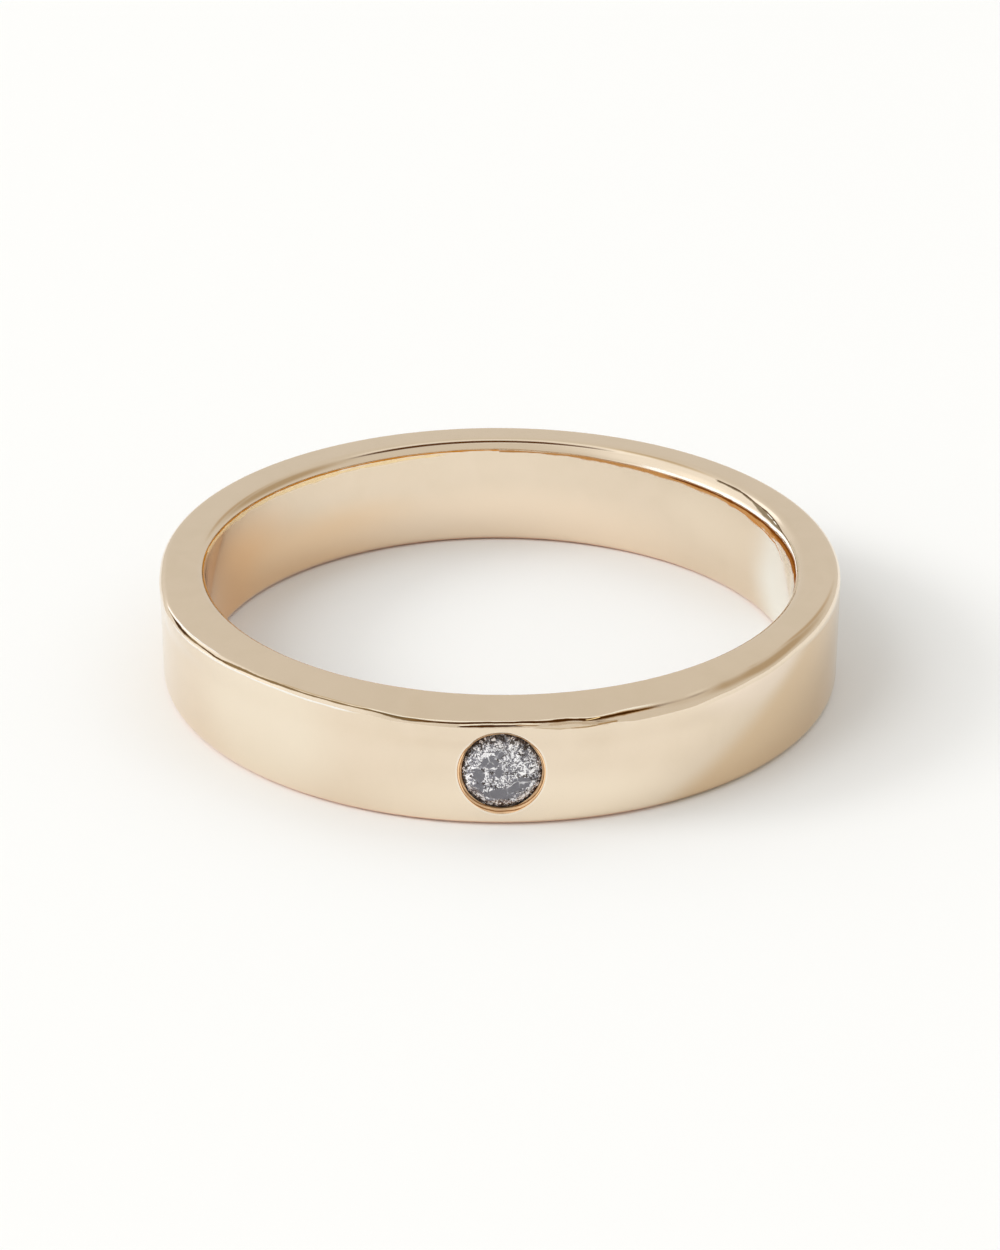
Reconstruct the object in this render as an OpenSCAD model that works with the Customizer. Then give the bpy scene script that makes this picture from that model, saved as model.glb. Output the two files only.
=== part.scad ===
// Diamond solitaire ring: a flat gold band with one round brilliant sunk flush in its wall.
// It lies on its side, as it rests by itself. The band's axis is Z, its lower side face is
// z = 0, and the stone faces -Y, a little below the middle of the band's width.

/* [Band] */
// Inside diameter of the band, a US size 7
inner_d = 17.3; // [15:0.1:21]
// Thickness of the band's wall
wall = 1.32; // [1.3:0.02:1.8]
// Width of the band along the finger
band_w = 3.47; // [3.2:0.01:6]
// Rounding of the two outer edges
outer_edge_r = 0.28; // [0.1:0.01:0.3]
// Rounding of the two inner edges
inner_edge_r = 0.33; // [0.1:0.01:0.35]

/* [Stone] */
// Diameter of the stone at its girdle
stone_d = 2.3; // [2:0.05:2.3]
// Diameter of the table across its corners, as a share of the stone's
table_share = 0.66; // [0.6:0.01:0.7]
// Length of the star facets, as a share of the way from the table to the girdle
star_share = 0.5; // [0.4:0.01:0.6]
// Reach of the lower girdle facets, as a share of the way from the girdle to the culet
lower_share = 0.76; // [0.7:0.01:0.85]
// Slope of the crown's main facets in degrees
crown_angle = 33; // [30:0.5:33]
// Slope of the pavilion's main facets in degrees
pavilion_angle = 37.5; // [36:0.5:38]
// Thickness of the girdle at its thickest
girdle_t = 0.06; // [0.05:0.01:0.08]
// How far the table stands proud of the band's surface
table_proud = 0.05; // [0:0.01:0.06]
// How far the stone's centre is below the middle of the band's width
stone_drop = 0.1; // [0:0.01:0.12]
// Turn of the stone about its own axis in degrees
stone_turn = 0; // [0:1:44]

/* [Seat] */
// How far the lip reaches over the stone's edge, all round
lip_cover = 0.05; // [0.03:0.01:0.06]
// Slope of the bright-cut bevel to the stone's axis in degrees
bevel_angle = 40; // [30:1:45]
// Clear gap between the stone and the metal
seat_gap = 0.02; // [0.01:0.005:0.03]
// Diameter of the open hole behind the stone
back_hole_d = 1; // [0.6:0.05:1.2]

/* [Hidden] */
$fn = 180;
GOLD = [0.85, 0.74, 0.58];
GREY_DIAMOND = [0.62, 0.62, 0.66];

inner_r = inner_d / 2;
outer_r = inner_r + wall;
stone_z = band_w / 2 - stone_drop;

// A round brilliant has eight main facets. Its round girdle is cut in small steps.
MAINS = 8;
STEPS_PER_FACET = 4;
FACET_TURN = 360 / (2 * MAINS);
STEP_TURN = FACET_TURN / STEPS_PER_FACET;
GIRDLE_STEPS = 2 * MAINS * STEPS_PER_FACET;

stone_r = stone_d / 2;
table_r = stone_r * table_share;
table_flat_r = table_r * cos(FACET_TURN);
crown_h = (stone_r - table_r) * tan(crown_angle);
star_r = table_flat_r + star_share * (stone_r - table_flat_r);
star_h = (stone_r - star_r * cos(FACET_TURN)) * tan(crown_angle);
lower_r = stone_r * (1 - lower_share);
lower_h = (stone_r - lower_r * cos(FACET_TURN)) * tan(pavilion_angle);
pavilion_h = stone_r * tan(pavilion_angle);

// A girdle facet's slope, measured across the chord that it cuts on the girdle
chord_r = stone_r * cos(FACET_TURN / 2);
crown_slope = star_h / (chord_r - star_r * cos(FACET_TURN / 2));
pavilion_slope = lower_h / (chord_r - lower_r * cos(FACET_TURN / 2));

// Depths below the band's surface, measured on the stone's axis
girdle_top_depth = crown_h - table_proud;
girdle_low_depth = girdle_top_depth + girdle_t;
lip_r = stone_r - lip_cover;
lip_slope = star_h / (stone_r - star_r);
lip_gap = seat_gap * sqrt(1 + pow(lip_slope, 2));
lip_depth = girdle_top_depth - lip_cover * lip_slope - lip_gap;
// The lower facets bulge a little out of a true cone
bearing_bulge = lower_r * (1 - cos(FACET_TURN)) * tan(pavilion_angle);
bearing_gap = seat_gap / cos(pavilion_angle) + bearing_bulge;
back_hole_r = back_hole_d / 2;
CUT_PAST = 0.5;

// Cross-section of the band: a rectangle with its four corners rounded
module band_profile() {
    translate([inner_r + inner_edge_r, 0])
        square([wall - inner_edge_r - outer_edge_r, band_w]);
    translate([inner_r, inner_edge_r])
        square([inner_edge_r, band_w - 2 * inner_edge_r]);
    translate([outer_r - outer_edge_r, outer_edge_r])
        square([outer_edge_r, band_w - 2 * outer_edge_r]);
    for (z = [inner_edge_r, band_w - inner_edge_r])
        translate([inner_r + inner_edge_r, z]) circle(r = inner_edge_r);
    for (z = [outer_edge_r, band_w - outer_edge_r])
        translate([outer_r - outer_edge_r, z]) circle(r = outer_edge_r);
}

// Depth of the bearing cone at a radius from the stone's axis
function bearing_depth(r) =
    girdle_low_depth + bearing_gap + (stone_r - r) * tan(pavilion_angle);

// Space cut for the stone, about its axis: radius across, height out of the band
module seat_profile() {
    polygon([
        [0, CUT_PAST],
        [lip_r + (lip_depth + CUT_PAST) * tan(bevel_angle), CUT_PAST],
        [lip_r, -lip_depth],
        [stone_r + seat_gap, lip_gap - seat_gap * lip_slope - girdle_top_depth],
        [stone_r + seat_gap, -bearing_depth(stone_r + seat_gap)],
        [back_hole_r, -bearing_depth(back_hole_r)],
        [back_hole_r, -wall - CUT_PAST],
        [0, -wall - CUT_PAST]
    ]);
}

// Puts a shape that stands on +Z on the band's front, with +Z pointing out of the wall
module on_front(depth = 0) {
    translate([0, depth - outer_r, stone_z]) rotate([90, 0, 0]) children();
}

// A point at a turn, a radius and a height
function around(turn, r, z) = [r * cos(turn), r * sin(turn), z];

// Turn from the middle of a girdle facet to a step of the girdle
function off_middle(step) = (step % STEPS_PER_FACET) * STEP_TURN - FACET_TURN / 2;

// How far the round girdle runs past the chord that a girdle facet cuts on it
function past_chord(step) = stone_r * cos(off_middle(step)) - chord_r;

// The brilliant, with the top of its girdle at z = 0 and its table up
module brilliant() {
    table = [for (k = [0:MAINS - 1]) around(2 * k * FACET_TURN, table_r, crown_h)];
    stars = [for (k = [0:MAINS - 1]) around((2 * k + 1) * FACET_TURN, star_r, star_h)];
    girdle_top = [for (i = [0:GIRDLE_STEPS - 1])
        around(i * STEP_TURN, stone_r, -past_chord(i) * crown_slope)];
    girdle_low = [for (i = [0:GIRDLE_STEPS - 1])
        around(i * STEP_TURN, stone_r, -girdle_t + past_chord(i) * pavilion_slope)];
    lowers = [for (k = [0:MAINS - 1])
        around((2 * k + 1) * FACET_TURN, lower_r, -girdle_t - lower_h)];
    culet = [[0, 0, -girdle_t - pavilion_h]];

    first_star = MAINS;
    first_top = 2 * MAINS;
    first_low = first_top + GIRDLE_STEPS;
    first_lower = first_low + GIRDLE_STEPS;
    culet_point = first_lower + MAINS;
    last = MAINS - 1;

    table_face = [[for (k = [last:-1:0]) k]];
    star_faces = [for (k = [0:last]) [k, (k + 1) % MAINS, first_star + k]];
    crown_mains = [for (k = [0:last])
        [k, first_star + k, first_top + 2 * k * STEPS_PER_FACET,
            first_star + (k + last) % MAINS]];
    upper_girdle = [for (f = [0:2 * MAINS - 1])
        concat([first_star + floor(f / 2)],
            [for (i = [STEPS_PER_FACET:-1:0])
                first_top + (f * STEPS_PER_FACET + i) % GIRDLE_STEPS])];
    girdle_faces = [for (i = [0:GIRDLE_STEPS - 1])
        [first_top + i, first_top + (i + 1) % GIRDLE_STEPS,
            first_low + (i + 1) % GIRDLE_STEPS, first_low + i]];
    lower_girdle = [for (f = [0:2 * MAINS - 1])
        concat([first_lower + floor(f / 2)],
            [for (i = [0:STEPS_PER_FACET])
                first_low + (f * STEPS_PER_FACET + i) % GIRDLE_STEPS])];
    pavilion_mains = [for (k = [0:last])
        [first_low + 2 * k * STEPS_PER_FACET, first_lower + k, culet_point,
            first_lower + (k + last) % MAINS]];

    polyhedron(
        points = concat(table, stars, girdle_top, girdle_low, lowers, culet),
        faces = concat(table_face, star_faces, crown_mains, upper_girdle, girdle_faces,
            lower_girdle, pavilion_mains));
}

// The metal: one solid, with the stone's seat cut through the front of its wall
module band() {
    color(GOLD)
    difference() {
        rotate_extrude() band_profile();
        on_front() rotate_extrude() seat_profile();
    }
}

// The stone, held under the lip with a small gap all round
module diamond() {
    color(GREY_DIAMOND)
    on_front(girdle_top_depth) rotate([0, 0, stone_turn]) brilliant();
}

band();
diamond();
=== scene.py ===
"""A flat gold ring with one flush-set grey diamond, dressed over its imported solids.

The ring lies on its side on a pale floor. All sizes below are in millimetres in the frame of
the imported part, and turn into metres where Blender needs them.
"""

import logging
import math
from collections.abc import Callable, Sequence
from dataclasses import dataclass, field
from enum import Enum

import bmesh
import bpy
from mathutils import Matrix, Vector


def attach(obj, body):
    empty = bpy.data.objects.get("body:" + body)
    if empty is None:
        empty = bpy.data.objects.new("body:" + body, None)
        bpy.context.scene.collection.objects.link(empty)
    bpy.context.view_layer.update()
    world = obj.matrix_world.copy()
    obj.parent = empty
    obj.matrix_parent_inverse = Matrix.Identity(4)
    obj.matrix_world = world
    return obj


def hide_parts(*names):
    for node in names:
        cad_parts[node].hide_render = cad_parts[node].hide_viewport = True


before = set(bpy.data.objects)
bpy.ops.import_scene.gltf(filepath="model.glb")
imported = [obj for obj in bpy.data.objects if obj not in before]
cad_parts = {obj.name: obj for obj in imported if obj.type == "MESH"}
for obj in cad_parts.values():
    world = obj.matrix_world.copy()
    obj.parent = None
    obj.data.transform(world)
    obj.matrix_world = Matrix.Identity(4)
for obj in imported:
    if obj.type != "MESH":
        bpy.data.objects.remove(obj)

log = logging.getLogger("ring")

MM = 0.001
SMOOTH_BELOW = math.radians(28.0)
QUARTER_TURN = math.radians(90.0)
STONE_CENTRE = (0.0, -9.97, 1.635)
# Points this close count as one: in metres to merge them, in millimetres to compare them
MERGE = 1e-7
NEAR = 0.001
# The band's UV map holds the place across it, plus the start, over the length
WRAP = "wrap"
MAP_START = 3.0
MAP_LENGTH = 10.0
# Where a noise is level
NOISE_MIDDLE = 0.5
# The numbers of the Mix node's sockets for two colours
MIX_SHARE, MIX_FIRST, MIX_SECOND, MIX_RESULT = 0, 6, 7, 2

Socket = bpy.types.NodeSocket
Node = bpy.types.Node
Tree = bpy.types.NodeTree
Piece = bpy.types.Object
Material = bpy.types.Material
Value = float | tuple[float, ...] | Socket
Color = tuple[float, float, float]
Place = tuple[float, float, float]
Ramp = tuple[float, float]


def hold(value: float) -> float:
    """Holds a number between 0 and 1."""
    return min(1.0, max(0.0, value))


def ease(share: float) -> float:
    """Gives a share from 0 to 1 a soft start and a soft end."""
    return share * share * (3.0 - 2.0 * share)


class Slot(Enum):
    """The record's material slots."""

    GOLD = "gold"
    DIAMOND = "diamond"


class Body(Enum):
    """The bodies that pieces ride on. A ring has no joint, so it has one."""

    ROOT = "root"


@dataclass(frozen=True)
class Grain:
    """A noise: features to a unit, octaves, strength of the finer ones, how far it is pulled."""

    scale: float
    detail: float = 2.0
    roughness: float = 0.5
    distortion: float = 0.0


class Shader:
    """Adds nodes to one node tree and joins them."""

    def __init__(self, tree: Tree) -> None:
        """Empties the tree.

        Args:
            tree: The node tree of a material or a world.
        """
        self.tree = tree
        tree.nodes.clear()

    def node(self, kind: str, settings: dict[str, object] | None = None,
             **inputs: Value) -> Node:
        """Adds a node.

        Args:
            kind: The node's type, without its ShaderNode prefix.
            settings: The node's own options.
            **inputs: A constant or a socket for each input, by name, _ for a space.

        Returns:
            The new node.
        """
        made = self.tree.nodes.new("ShaderNode" + kind)
        for name, value in (settings or {}).items():
            setattr(made, name, value)
        for name, value in inputs.items():
            self.feed(made.inputs[name.replace("_", " ")], value)
        return made

    def feed(self, socket: Socket, value: Value) -> None:
        """Links a socket to an input, or sets it to a constant.

        Args:
            socket: The input.
            value: What it gets. A colour has three numbers.
        """
        if isinstance(value, Socket):
            self.tree.links.new(value, socket)
        elif socket.type == "RGBA":
            socket.default_value = (*value, 1.0)
        else:
            socket.default_value = value

    def show(self, kind: str, shown: Node) -> None:
        """Joins a node to the tree's result.

        Args:
            kind: The output node's type, without its ShaderNode prefix.
            shown: The node of the surface or the surroundings.
        """
        self.feed(self.node(kind).inputs["Surface"], shown.outputs[0])

    def math(self, operation: str, *values: Value, clamp: bool = False) -> Socket:
        """Adds a Math node.

        Args:
            operation: Its operation.
            *values: Its inputs in order.
            clamp: Whether the result is held between 0 and 1.

        Returns:
            Its result.
        """
        made = self.node("Math", {"operation": operation, "use_clamp": clamp})
        for socket, value in zip(made.inputs, values):
            self.feed(socket, value)
        return made.outputs[0]

    def product(self, first: Value, *others: Value) -> Socket:
        """Multiplies two or more numbers.

        Args:
            first: A number.
            *others: The numbers that it is multiplied by.

        Returns:
            The product.
        """
        for other in others:
            first = self.math("MULTIPLY", first, other)
        return first

    def add_product(self, start: Value, first: Value, second: Value) -> Socket:
        """Returns a number plus the product of two others."""
        return self.math("MULTIPLY_ADD", first, second, start)

    def hypot(self, u: Value, v: Value) -> Socket:
        """Returns the length of a flat vector."""
        return self.math("SQRT", self.math("ADD", self.product(u, u), self.product(v, v)))

    def smooth(self, value: Value, low: float, high: float,
               to_low: float = 0.0, to_high: float = 1.0) -> Socket:
        """Maps low to high smoothly onto another range, with both ends held.

        Args:
            value: The number to map.
            low: Where the change starts.
            high: Where it ends.
            to_low: The result at low and before it.
            to_high: The result at high and past it.

        Returns:
            The mapped number.
        """
        made = self.node("MapRange", {"interpolation_type": "SMOOTHSTEP"}, Value=value,
                         From_Min=low, From_Max=high, To_Min=to_low, To_Max=to_high)
        return made.outputs[0]

    def blend(self, share: Value, first: Value, second: Value) -> Socket:
        """Mixes two colours.

        Args:
            share: How much of the second one shows.
            first: A colour.
            second: A colour.

        Returns:
            The mixed colour.
        """
        made = self.node("Mix", {"data_type": "RGBA"})
        self.feed(made.inputs[MIX_SHARE], share)
        self.feed(made.inputs[MIX_FIRST], first)
        self.feed(made.inputs[MIX_SECOND], second)
        return made.outputs[MIX_RESULT]

    def noise(self, vector: Value, grain: Grain, output: str = "Fac") -> Socket:
        """Adds a noise.

        Args:
            vector: Where it is read.
            grain: Its look.
            output: "Fac" for one number, "Color" for three.

        Returns:
            The noise, about 0 to 1.
        """
        made = self.node("TexNoise", None, Vector=vector, Scale=grain.scale, Detail=grain.detail,
                         Roughness=grain.roughness, Distortion=grain.distortion)
        return made.outputs[output]

    def cells(self, vector: Value, scale: float) -> tuple[Socket, ...]:
        """Returns three chance numbers, each the same throughout a cell."""
        made = self.node("TexVoronoi", {"feature": "F1"}, Vector=vector, Scale=scale)
        return self.split(made.outputs["Color"])

    def vector(self, operation: str, *values: Value, output: int | str = 0) -> Socket:
        """Adds a Vector Math node.

        Args:
            operation: Its operation.
            *values: Its inputs in order.
            output: 0 for a vector, "Value" for a number.

        Returns:
            Its result.
        """
        made = self.node("VectorMath", {"operation": operation})
        for socket, value in zip(made.inputs, values):
            self.feed(socket, value)
        return made.outputs[output]

    def split(self, vector: Value) -> tuple[Socket, ...]:
        """Returns a vector's three numbers."""
        return tuple(self.node("SeparateXYZ", None, Vector=vector).outputs)

    def position_mm(self) -> Socket:
        """Returns the place on the piece in the part's frame, in millimetres."""
        place = self.node("TexCoord").outputs["Object"]
        return self.node("VectorMath", {"operation": "SCALE"}, Vector=place,
                         Scale=1.0 / MM).outputs[0]


class BandShader(Shader):
    """A shader that knows where on the band its point is, in millimetres and degrees.

    The azimuth starts at the ring's front and runs to the right. The place across is the wrap
    map's.
    """

    def __init__(self, tree: Tree) -> None:
        """Empties the tree and reads the place.

        Args:
            tree: The node tree of the band's material.
        """
        super().__init__(tree)
        self.at = self.position_mm()
        self.x, self.y, self.z = self.split(self.at)
        self.radius = self.hypot(self.x, self.y)
        turn = self.math("ARCTAN2", self.x, self.product(self.y, -1.0))
        self.azimuth = self.product(turn, math.degrees(1.0))
        wrap = self.node("UVMap", {"uv_map": WRAP}).outputs[0]
        self.across = self.add_product(-MAP_START, self.split(wrap)[1], MAP_LENGTH)


@dataclass(frozen=True)
class PaintedEdgeReflection:
    """A fine line along the band, where its edge mirrors a darker, lighter or redder part.

    The line is painted into the metal's colour: a painted reflection, and a painted highlight
    where it is light. Each point is an azimuth in degrees from the front, to the right, a place
    across the band as in the wrap map, and half the line's width there.
    """

    points: tuple[Place, ...]
    color: Color
    fade: float = 4.0
    strength: float = 1.0
    matt: float = 0.0
    side_ramp: Ramp = (1.25, 0.55)

    def over(self, s: BandShader, width_jitter: Socket, tone: Socket,
             polish: Value) -> tuple[Socket, Value]:
        """Lays the painted line over a colour.

        Args:
            s: The shader.
            width_jitter: What the line's width is multiplied by.
            tone: The colour so far.
            polish: How far the metal mirrors what is round it, so far.

        Returns:
            The new colour and the new polish.
        """
        first, middle, half = self.points[0]
        last = self.points[-1][0]
        for (start, middle_0, half_0), (end, middle_1, half_1) in zip(self.points,
                                                                      self.points[1:]):
            past = s.math("SUBTRACT", s.azimuth, start)
            share = s.math("DIVIDE", past, end - start, clamp=True)
            middle = s.add_product(middle, share, middle_1 - middle_0)
            half = s.add_product(half, share, half_1 - half_0)
        off = s.math("ABSOLUTE", s.math("SUBTRACT", s.across, middle))
        shown = s.product(s.smooth(s.math("DIVIDE", off, s.product(half, width_jitter)), *self.side_ramp),
                          s.smooth(s.azimuth, first - self.fade, first),
                          s.smooth(s.azimuth, last + self.fade, last), self.strength)
        # Where the line is matt the metal mirrors less, so the painted colour is lit as paint and a
        # painted highlight can be lighter than the mirror
        if self.matt:
            polish = s.product(polish, s.add_product(1.0, shown, -self.matt))
        return s.blend(shown, tone, self.color), polish


# A painted reflection: a soft change of tone painted into the metal's colour, where a wall would
# mirror another part of the room or ring
@dataclass(frozen=True)
class ReflectionTint:
    """A soft oval change of tone on a wall, where it mirrors another part of the room or ring."""

    azimuth: float
    half_width: float
    z: float
    half_height: float
    color: Color
    strength: float = 1.0
    side_ramp: Ramp = (1.4, 0.5)

    def over(self, s: BandShader, tone: Socket) -> Socket:
        """Lays the tint over a colour.

        Args:
            s: The shader.
            tone: The colour so far.

        Returns:
            The new colour.
        """
        turn = s.math("WRAP", s.math("SUBTRACT", s.azimuth, self.azimuth), 180.0, -180.0)
        u = s.math("DIVIDE", turn, self.half_width)
        v = s.math("DIVIDE", s.math("SUBTRACT", s.z, self.z), self.half_height)
        shown = s.product(s.smooth(s.hypot(u, v), *self.side_ramp), self.strength)
        return s.blend(shown, tone, self.color)


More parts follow.
